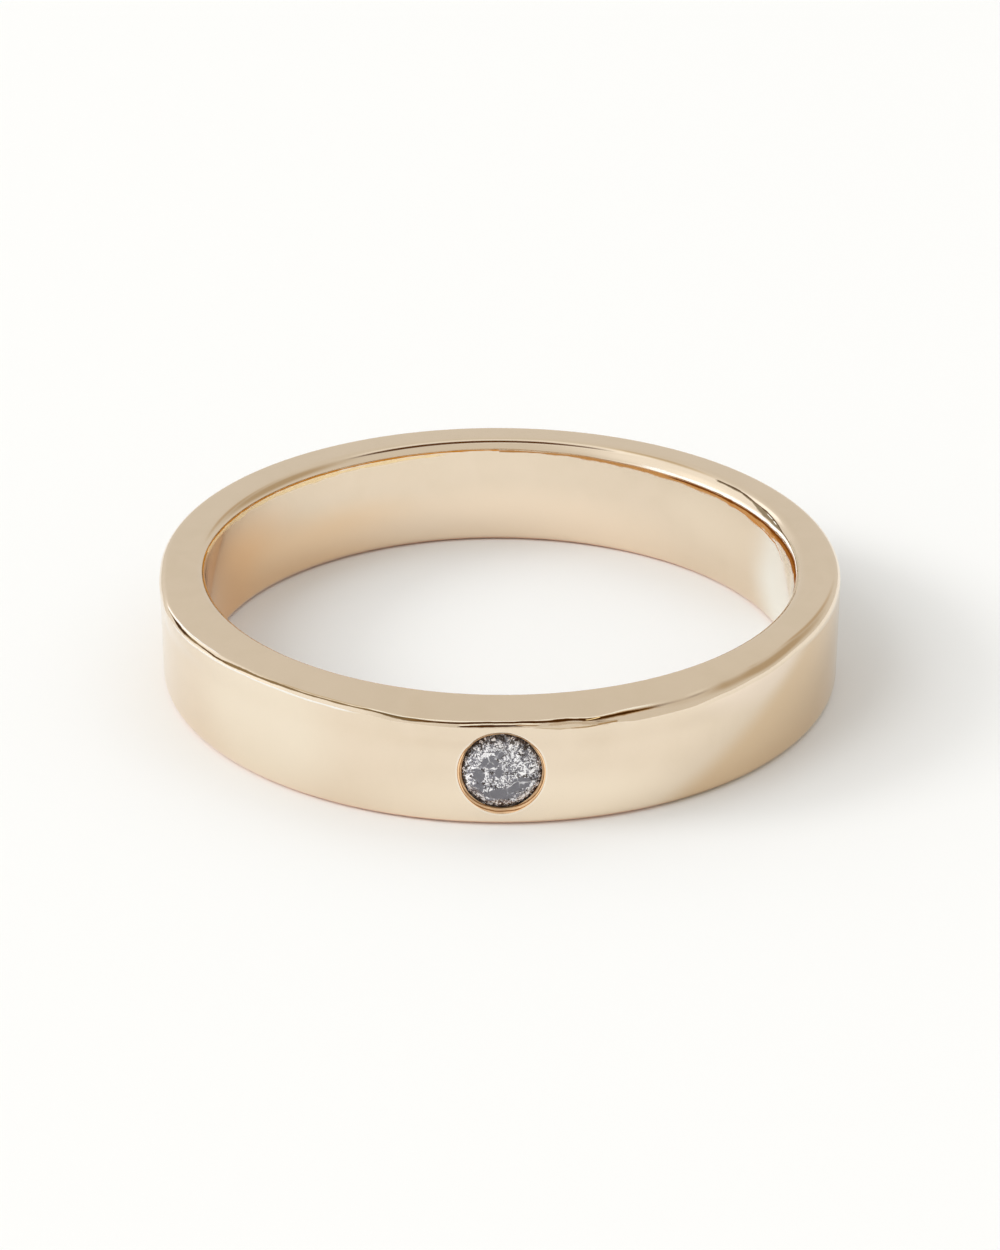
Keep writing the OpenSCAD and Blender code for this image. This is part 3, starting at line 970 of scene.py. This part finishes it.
@dataclass
class Seat:
    """The space cut for the stone, as a turned cutter about the stone's axis."""

    centre_z: float = STONE_CENTRE[2]
    face_y: float = STONE_CENTRE[1]
    lip_half_width: float = 1.085
    lip_half_height: float = 1.14
    lip_depth: float = 0.135
    mouth_left: float = 1.19
    mouth_right: float = 1.18
    mouth_half_height: float = 1.235
    tool_lines: int = 8
    line_depth: float = 0.006
    under_lip: tuple[float, float] = (1.17, 0.195)
    girdle_low: tuple[float, float] = (1.17, 0.29)
    hole_r: float = 0.5
    bearing_angle: float = 37.5
    back_depth: float = 1.9
    front: float = 0.4
    sides: int = 160
    waves: tuple[tuple[float, float, float], ...] = (
        (0.010, 3.0, 0.6), (0.007, 5.0, 2.1), (0.004, 11.0, 4.0), (0.003, 17.0, 1.3))

    def rings(self) -> list[tuple[float, float]]:
        """Lists the cutter's rings, from its front to its back.

        Returns:
            The radius of each and its depth below the band's surface.
        """
        bearing = (self.girdle_low[0] - self.hole_r) * math.tan(math.radians(self.bearing_angle))
        bevel = [(self.lip_half_width, self.lip_depth * i / self.tool_lines)
                 for i in range(self.tool_lines + 1)]
        return [
            (self.lip_half_width, -self.front), *bevel,
            self.under_lip, self.girdle_low,
            (self.hole_r, self.girdle_low[1] + bearing), (self.hole_r, self.back_depth),
        ]

    def bevel_r(self, turn: float, depth: float) -> float:
        """Gives the radius of the hand-cut bevel.

        Args:
            turn: Radians about the stone's axis, from the right, upwards.
            depth: Millimetres below the band's surface.

        Returns:
            The radius in millimetres.
        """
        mouth_side = self.mouth_right if math.cos(turn) > 0.0 else self.mouth_left
        lip = math.hypot(self.lip_half_width * math.cos(turn),
                         self.lip_half_height * math.sin(turn))
        mouth = math.hypot(mouth_side * math.cos(turn), self.mouth_half_height * math.sin(turn))
        out = 1.0 - depth / self.lip_depth
        line = round(depth / self.lip_depth * self.tool_lines)
        groove = self.line_depth if line % 2 and 0.0 < out < 1.0 else 0.0
        wave = sum(size * math.sin(count * turn + start + out)
                   for size, count, start in self.waves)
        return lip + (mouth - lip) * out + groove + wave

    def cutter(self) -> Piece:
        """Builds the cutter from a disc that is extruded ring by ring.

        Returns:
            The cutter.
        """
        deselect_all()
        rings = self.rings()
        at = [0.0, (self.face_y + rings[0][1]) * MM, self.centre_z * MM]
        bpy.ops.mesh.primitive_circle_add(
            vertices=self.sides, radius=rings[0][0] * MM, fill_type="NGON",
            location=at, rotation=(QUARTER_TURN, 0.0, 0.0))
        made = bpy.context.object
        made.name = "seat_cutter"
        bpy.ops.object.transform_apply(location=True, rotation=True, scale=True)
        bpy.ops.object.mode_set(mode="EDIT")
        bpy.ops.mesh.select_all(action="SELECT")
        for (r_from, d_from), (r_to, d_to) in zip(rings, rings[1:]):
            bpy.ops.mesh.extrude_region_move(
                TRANSFORM_OT_translate={"value": (0.0, (d_to - d_from) * MM, 0.0)})
            at[1] += (d_to - d_from) * MM
            share = r_to / r_from
            bpy.ops.transform.resize(value=(share, 1.0, share), center_override=at)
        bpy.ops.mesh.select_all(action="SELECT")
        bpy.ops.mesh.normals_make_consistent(inside=False)
        bpy.ops.object.mode_set(mode="OBJECT")
        for vertex in made.data.vertices:
            depth = vertex.co.y / MM - self.face_y
            if depth <= self.lip_depth + NEAR:
                turn = math.atan2(vertex.co.z / MM - self.centre_z, vertex.co.x / MM)
                radius = self.bevel_r(turn, depth)
                vertex.co.x = radius * math.cos(turn) * MM
                vertex.co.z = (self.centre_z + radius * math.sin(turn)) * MM
        return made


@dataclass(frozen=True)
class Around:
    """A size or angle that changes round the ring.

    Each point is an azimuth in degrees from the front, to the right, and the size there.
    """

    points: tuple[tuple[float, float], ...]

    def at(self, azimuth: float) -> float:
        """Gives the size at one azimuth.

        Args:
            azimuth: Degrees, -180 to 180.

        Returns:
            The size in millimetres, or the angle in degrees.
        """
        for (a0, size0), (a1, size1) in zip(self.points, self.points[1:]):
            if a0 <= azimuth <= a1:
                share = (azimuth - a0) / (a1 - a0)
                return size0 + (size1 - size0) * ease(share)
        return self.points[0][1]

    def most(self) -> float:
        """Returns the largest of the sizes."""
        return max(size for _, size in self.points)


@dataclass
class Band:
    """The metal ring: a flat band, softly rounded at its edges, with the seat in its front."""

    inner_r: float = 8.65
    outer_r: float = 9.97
    width: float = 3.47
    inner_edge: Around = Around((
        (-180, 0.33), (-150, 0.35), (-120, 0.33), (0, 0.33), (90, 0.36), (100, 0.42), (110, 0.5),
        (140, 0.5), (152, 0.46), (166, 0.38), (180, 0.33)))
    outer_edge: Around = Around((
        (-180, 0.28), (-88, 0.24), (-72, 0.2), (-30, 0.2), (-14, 0.2), (0, 0.22), (12, 0.22),
        (20, 0.3), (45, 0.3), (60, 0.35), (90, 0.3), (180, 0.28)))
    outer_turn: Around = Around((
        (-180, 90.0), (-88, 90.0), (-74, 62.0), (-30, 60.0), (-14, 56.0), (-6, 52.0), (10, 52.0),
        (17, 58.0), (24, 90.0), (180, 90.0)))
    low_edge: float = 0.28
    edge_segments: int = 16
    face_cuts: int = 5
    wall_cuts: int = 18
    steps: int = 576
    roll_start_r: float = 8.90
    roll: Around = Around((
        (-180, 0.0), (-92, 0.0), (-78, 0.08), (-68, 0.13), (-55, 0.14), (-47, 0.14), (-38, 0.16),
        (-30, 0.2), (-22, 0.24), (-15, 0.32), (-8, 0.3), (0, 0.29), (5, 0.29), (10, 0.28),
        (15, 0.31), (20, 0.32), (30, 0.33), (38, 0.24), (45, 0.17), (58, 0.0), (180, 0.0)))
    swell: Around = Around((
        (-180, 0.0), (-88, 0.0), (-78, 0.05), (-70, 0.14), (-60, 0.18), (-52, 0.15), (-44, 0.11),
        (-38, 0.09), (-30, 0.08), (-22, 0.08), (-15, 0.1), (-8, 0.13), (0, 0.1), (5, 0.09),
        (10, 0.07), (15, 0.13), (20, 0.07), (30, 0.05), (42, 0.02), (58, 0.0), (180, 0.0)))
    swell_foot: float = 2.3
    swell_below_top: float = 0.1
    swell_in: float = 0.66
    swell_rise: float = 0.36
    normal_weight: int = 60
    seat: Seat = field(default_factory=Seat)
    finish: PolishedGold = field(default_factory=PolishedGold)

    def build(self) -> Piece:
        """Builds the whole band.

        Returns:
            The finished piece.
        """
        piece = self._section()
        self._spin(piece)
        self._wrap(piece)
        self._wear_edges(piece)
        self._roll_front_edge(piece)
        self._cut_seat(piece)
        make_active(piece)
        bpy.ops.object.shade_smooth_by_angle(angle=SMOOTH_BELOW)
        apply_modifier(piece, "WEIGHTED_NORMAL", keep_sharp=True, weight=self.normal_weight)
        dress(piece, self.finish.material())
        return piece

    def _section(self) -> Piece:
        """Builds the outline of the band's cross-section.

        Returns:
            An object of edges alone, at the right of the ring.
        """
        deselect_all()
        middle = ((self.inner_r + self.outer_r) / 2 * MM, 0.0, self.width / 2 * MM)
        bpy.ops.mesh.primitive_plane_add(size=MM, location=middle,
                                         rotation=(QUARTER_TURN, 0.0, 0.0))
        piece = bpy.context.object
        piece.name = "polished_band"
        bpy.ops.object.transform_apply(location=True, rotation=True, scale=True)
        bpy.ops.object.mode_set(mode="EDIT")
        bpy.ops.mesh.select_all(action="SELECT")
        bpy.ops.transform.resize(value=(self.outer_r - self.inner_r, 1.0, self.width),
                                 center_override=middle)
        for edge, is_outer in ((self.outer_edge, True), (self.inner_edge, False)):
            split = middle[0]
            select_where(piece, "VERT", lambda co: (co.x > split) == is_outer)
            bpy.ops.mesh.bevel(offset=edge.most() * MM, segments=self.edge_segments,
                               profile=0.5, affect="VERTICES")
        faces = (
            (lambda co: abs(co.z - self.width * MM) < MERGE, self.face_cuts),
            (lambda co: abs(co.x - self.outer_r * MM) < MERGE, self.wall_cuts))
        for test, cuts in faces:
            select_where(piece, "EDGE", test)
            bpy.ops.mesh.subdivide(number_cuts=cuts)
        bpy.ops.mesh.select_mode(type="FACE")
        bpy.ops.mesh.select_all(action="SELECT")
        bpy.ops.mesh.delete(type="ONLY_FACE")
        bpy.ops.object.mode_set(mode="OBJECT")
        return piece

    def _spin(self, piece: Piece) -> None:
        """Turns the cross-section once round the ring's axis.

        Args:
            piece: The outline.
        """
        make_active(piece)
        bpy.ops.object.mode_set(mode="EDIT")
        bpy.ops.mesh.select_mode(type="VERT")
        bpy.ops.mesh.select_all(action="SELECT")
        bpy.ops.mesh.spin(steps=self.steps, angle=math.tau, center=(0.0, 0.0, 0.0),
                          axis=(0.0, 0.0, 1.0))
        bpy.ops.mesh.select_all(action="SELECT")
        bpy.ops.mesh.remove_doubles(threshold=MERGE)
        bpy.ops.mesh.normals_make_consistent(inside=False)
        bpy.ops.object.mode_set(mode="OBJECT")

    def _corner(self, radius: float, z: float) -> tuple[float, float, float, float] | None:
        """Finds the rounded edge that a point is on, while all are as wide as the widest.

        Args:
            radius: Its distance from the ring's axis.
            z: Its height.

        Returns:
            The radius and height of the edge's sharp corner, the rounding's radius, and 1 for an
            outer edge or -1 for an inner one, or nothing for a point of a flat face.
        """
        for corner_r, edge, side in ((self.inner_r, self.inner_edge, -1.0),
                                     (self.outer_r, self.outer_edge, 1.0)):
            reach = edge.most() + NEAR
            for corner_z in (0.0, self.width):
                if abs(radius - corner_r) < reach and abs(z - corner_z) < reach:
                    return corner_r, corner_z, edge.most(), side
        return None

    def _wrap(self, piece: Piece) -> None:
        """Gives the band a UV map: once round it, and across it from the inner wall's foot.

        The place across is 1 to 2 over the inner rounding and 3 to 4 over the outer one. It runs
        on down both walls, a unit to a millimetre. The second number is a tenth of it, plus 0.3.

        Args:
            piece: The band, spun and not yet worn.
        """
        across = []
        for vertex in piece.data.vertices:
            x, y, z = (c / MM for c in vertex.co)
            radius = math.hypot(x, y)
            corner = self._corner(radius, z)
            if corner and corner[1] > 0.0:
                corner_r, corner_z, edge, side = corner
                slope = math.atan2(side * (radius - corner_r) + edge, z - corner_z + edge)
                share = hold(slope / QUARTER_TURN)
                across.append(3.0 + share if side > 0.0 else 2.0 - share)
            elif z > self.width - NEAR:
                across.append(2.5)
            elif radius > (self.inner_r + self.outer_r) / 2:
                across.append(4.0 + self.width - self.outer_edge.most() - z)
            else:
                across.append(1.0 - self.width + self.inner_edge.most() + z)
        layer = piece.data.uv_layers.new(name=WRAP)
        for face in piece.data.polygons:
            for loop in face.loop_indices:
                vertex = piece.data.vertices[piece.data.loops[loop].vertex_index]
                turn = math.atan2(vertex.co.x, -vertex.co.y) / math.tau + 0.5
                layer.data[loop].uv = (turn, (across[vertex.index] + MAP_START) / MAP_LENGTH)

    def _wear_edges(self, piece: Piece) -> None:
        """Draws the rounded edges in to the size that each has round the ring.

        The upper outer one turns only part of the way and ends in a crisp corner where it is
        worn least, over a slight swell of the wall.

        Args:
            piece: The band, spun.
        """
        middle_r = (self.inner_r + self.outer_r) / 2
        swell_height = self.width - self.swell_foot - self.swell_below_top
        for vertex in piece.data.vertices:
            x, y, z = (c / MM for c in vertex.co)
            radius = math.hypot(x, y)
            azimuth = math.degrees(math.atan2(x, -y))
            corner = self._corner(radius, z)
            if corner and corner[1] > 0.0 and corner[3] > 0.0:
                edge, full = self.outer_edge.at(azimuth), corner[2]
                slope = math.atan2(radius - self.outer_r + full, z - self.width + full)
                most = math.radians(self.outer_turn.at(azimuth))
                slope *= most / QUARTER_TURN
                new_r = self.outer_r - edge * (math.sin(most) - math.sin(slope))
                new_z = self.width - edge * (1.0 - math.cos(slope))
            elif corner:
                corner_r, corner_z, full, side = corner
                edge = self.inner_edge.at(azimuth) if corner_z > 0.0 else self.low_edge
                new_r = corner_r + (radius - corner_r) * edge / full
                new_z = corner_z + (z - corner_z) * edge / full
            else:
                new_r, new_z = radius, z
            if radius > middle_r and new_z > self.swell_foot:
                rise = hold((new_z - self.swell_foot) / swell_height)
                out = hold((radius - self.outer_r + self.swell_in) / self.swell_rise)
                new_r += self.swell.at(azimuth) * ease(rise) * out
            vertex.co.x = x / radius * new_r * MM
            vertex.co.y = y / radius * new_r * MM
            vertex.co.z = new_z * MM

    def _roll_front_edge(self, piece: Piece) -> None:
        """Rolls the upper outer edge down a little, as polishing has worn it.

        Args:
            piece: The band.
        """
        deepest = self.roll.most()
        group = piece.vertex_groups.new(name="rolled_edge")
        low, high = self.width / 2, self.width - self.outer_edge.most()
        for vertex in piece.data.vertices:
            x, y, z = (c / MM for c in vertex.co)
            radius = math.hypot(x, y)
            out = max(0.0, (radius - self.roll_start_r) / (self.outer_r - self.roll_start_r))
            up = hold((z - low) / (high - low))
            weight = out * up * self.roll.at(math.degrees(math.atan2(x, -y))) / deepest
            if weight > 0.0:
                group.add([vertex.index], weight, "REPLACE")
        apply_modifier(piece, "DISPLACE", direction="Z", mid_level=0.0,
                       strength=-deepest * MM, vertex_group=group.name)
        piece.vertex_groups.clear()

    def _cut_seat(self, piece: Piece) -> None:
        """Cuts the stone's seat through the front of the wall.

        Args:
            piece: The band.
        """
        cutter = self.seat.cutter()
        apply_modifier(piece, "BOOLEAN", operation="DIFFERENCE", solver="EXACT", object=cutter)
        bpy.data.objects.remove(cutter)


@dataclass
class Stone:
    """The diamond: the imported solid, whose facets are right, under its own finish."""

    node: str = "diamond"
    finish: GreyDiamond = field(default_factory=GreyDiamond)

    def build(self) -> Piece:
        """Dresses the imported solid.

        Returns:
            The stone.
        """
        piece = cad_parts[self.node]
        dress(piece, self.finish.material())
        return piece


def toward(azimuth: float, elevation: float) -> Vector:
    """Gives a direction of the studio.

    Args:
        azimuth: Degrees from the ring's back, to the right.
        elevation: Degrees above the floor.

    Returns:
        The unit vector that points there.
    """
    a, e = math.radians(azimuth), math.radians(elevation)
    return Vector((math.sin(a) * math.cos(e), math.cos(a) * math.cos(e), math.sin(e)))


@dataclass(frozen=True)
class SkyPatch:
    """A soft-edged oval of the studio that is lighter or darker than what is round it."""

    azimuth: float
    elevation: float
    half_width: float
    half_height: float
    gain: Color
    softness: float = 0.4
    turn: float = 0.0
    ahead_ramp: Ramp = (0.0, 0.05)

    def apply(self, s: Shader, direction: Socket, light: Socket) -> Socket:
        """Multiplies the light inside the oval by the gain.

        Args:
            s: The world's shader.
            direction: Where the light comes from.
            light: Its colour so far.

        Returns:
            The new colour.
        """
        a, t = math.radians(self.azimuth), math.radians(self.turn)
        to = toward(self.azimuth, self.elevation)
        right = Vector((math.cos(a), -math.sin(a), 0.0))
        up = right.cross(to)
        across = right * math.cos(t) + up * math.sin(t)
        along = up * math.cos(t) - right * math.sin(t)
        across /= math.sin(math.radians(self.half_width))
        along /= math.sin(math.radians(self.half_height))
        u, v, ahead = (s.vector("DOT_PRODUCT", direction, tuple(axis), output="Value")
                       for axis in (across, along, to))
        inside = s.smooth(s.hypot(u, v), 1.0 + self.softness, 1.0 - self.softness)
        inside = s.product(inside, s.smooth(ahead, *self.ahead_ramp))
        return s.vector("MULTIPLY", light, s.blend(inside, (1.0, 1.0, 1.0), self.gain))


@dataclass(frozen=True)
class SoftLight:
    """A large round softbox, by where it hangs, how wide it looks and how bright it is."""

    name: str
    azimuth: float
    elevation: float
    half_angle: float
    radiance: float
    color: Color = (1.0, 1.0, 1.0)
    distance: float = 3000.0

    def build(self) -> None:
        """Hangs the light, turned to the ring, where neither camera nor polished metal shows it."""
        to = toward(self.azimuth, self.elevation)
        radius = self.distance * MM * math.tan(math.radians(self.half_angle))
        data = bpy.data.lights.new(self.name, "AREA")
        data.shape = "DISK"
        data.size = radius * 2.0
        data.energy = self.radiance * math.pi * math.pi * radius ** 2
        data.color = self.color
        light = bpy.data.objects.new(self.name, data)
        bpy.context.scene.collection.objects.link(light)
        light.location = to * self.distance * MM
        light.rotation_euler = to.to_track_quat("Z", "Y").to_euler()
        light.visible_camera = False
        light.visible_glossy = False


@dataclass
class Studio:
    """A plain pale floor under soft light, with the dark things that polished gold mirrors."""

    floor_r: float = 3000.0
    floor_sides: int = 96
    floor_inset: float = 2700.0
    low_color: Color = (0.735, 0.70, 0.645)
    high_color: Color = (0.95, 0.935, 0.885)
    rise: Ramp = (60.0, 70.0)
    lights: tuple[SoftLight, ...] = (
        SoftLight("key", -92.0, 30.0, 9.0, 10.4),
        SoftLight("fill", -118.0, 43.0, 18.0, 2.4),
        SoftLight("high_fill", 60.0, 55.0, 35.0, 0.53, (0.62, 0.81, 1.0)),
    )
    patches: tuple[SkyPatch, ...] = (
        SkyPatch(-88.0, 34.0, 46.0, 36.0, (1.40, 1.46, 1.55), 0.35),
        SkyPatch(-92.0, 24.0, 14.0, 14.0, (1.15, 1.15, 1.15), 0.6),
        SkyPatch(-95.0, 6.0, 38.0, 9.0, (1.35, 1.38, 1.45), 0.4),
        SkyPatch(-37.0, 33.0, 6.0, 9.0, (1.5, 1.55, 1.65), 0.5),
        SkyPatch(-36.0, 60.0, 8.0, 8.0, (0.75, 0.65, 0.5), 0.6),
        SkyPatch(72.0, 34.0, 26.0, 20.0, (0.68, 0.58, 0.44), 0.5),
        SkyPatch(31.0, 34.0, 7.0, 12.0, (0.78, 0.68, 0.55), 0.6),
        SkyPatch(131.0, 81.0, 26.0, 13.0, (0.12, 0.05, 0.02), 0.22, 49.0),
    )
    finish: PaperFloor = field(default_factory=PaperFloor)

    def build(self) -> None:
        """Builds the floor, the surrounding light and the softboxes."""
        self._floor()
        self._world()
        for light in self.lights:
            light.build()

    def _floor(self) -> None:
        """Lays the floor, a large disc just under the ring."""
        deselect_all()
        bpy.ops.mesh.primitive_circle_add(vertices=self.floor_sides, radius=self.floor_r * MM,
                                          fill_type="NGON", location=(0.0, 0.0, 0.0))
        floor = bpy.context.object
        floor.name = "floor"
        bpy.ops.object.mode_set(mode="EDIT")
        bpy.ops.mesh.select_all(action="SELECT")
        bpy.ops.mesh.inset(thickness=self.floor_inset * MM)
        bpy.ops.object.mode_set(mode="OBJECT")
        dress(floor, self.finish.material())

    def _world(self) -> None:
        """Builds the light that comes from all round, by elevation and with its patches."""
        world = bpy.data.worlds.new("studio")
        bpy.context.scene.world = world
        world.use_nodes = True
        s = Shader(world.node_tree)
        direction = s.node("TexCoord").outputs["Generated"]
        low, high = (math.sin(math.radians(angle)) for angle in self.rise)
        shown = s.blend(s.smooth(s.split(direction)[2], low, high), self.low_color,
                        self.high_color)
        for patch in self.patches:
            shown = patch.apply(s, direction, shown)
        s.show("OutputWorld", s.node("Background", None, Color=shown))


@dataclass
class PhotoCamera:
    """The camera, at the photograph's angle above the floor."""

    distance: float = 99.5
    height: float = 44.68
    azimuth: float = -0.36
    aim_height: float = 1.213
    lens: float = 96.06
    sensor: float = 36.0
    roll: float = 0.272
    reach: Ramp = (1.0, 100000.0)

    def build(self) -> None:
        """Adds the camera and makes it the scene's own."""
        a = math.radians(self.azimuth)
        out = math.sqrt(self.distance ** 2 - self.height ** 2)
        eye = Vector((math.sin(a) * out, -math.cos(a) * out, self.height))
        data = bpy.data.cameras.new("camera")
        data.lens = self.lens
        data.sensor_width = self.sensor
        data.clip_start, data.clip_end = (d * MM for d in self.reach)
        camera = bpy.data.objects.new("camera", data)
        bpy.context.scene.collection.objects.link(camera)
        back = eye - Vector((0.0, 0.0, self.aim_height))
        turn = back.to_track_quat("Z", "Y").to_matrix()
        camera.location = eye * MM
        camera.rotation_euler = turn.to_euler()
        camera.rotation_euler.rotate_axis("Z", math.radians(self.roll))
        bpy.context.scene.camera = camera


def main() -> None:
    """Builds the ring and its studio."""
    logging.basicConfig(level=logging.INFO, format="%(message)s")
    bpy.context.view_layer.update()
    band = Band().build()
    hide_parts("band")
    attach(band, Body.ROOT.value)
    log.info("band: %d faces", len(band.data.polygons))
    stone = Stone().build()
    log.info("stone: %d faces", len(stone.data.polygons))
    Studio().build()
    PhotoCamera().build()
    bpy.context.scene.view_settings.view_transform = "Standard"


if __name__ == "__main__":
    main()
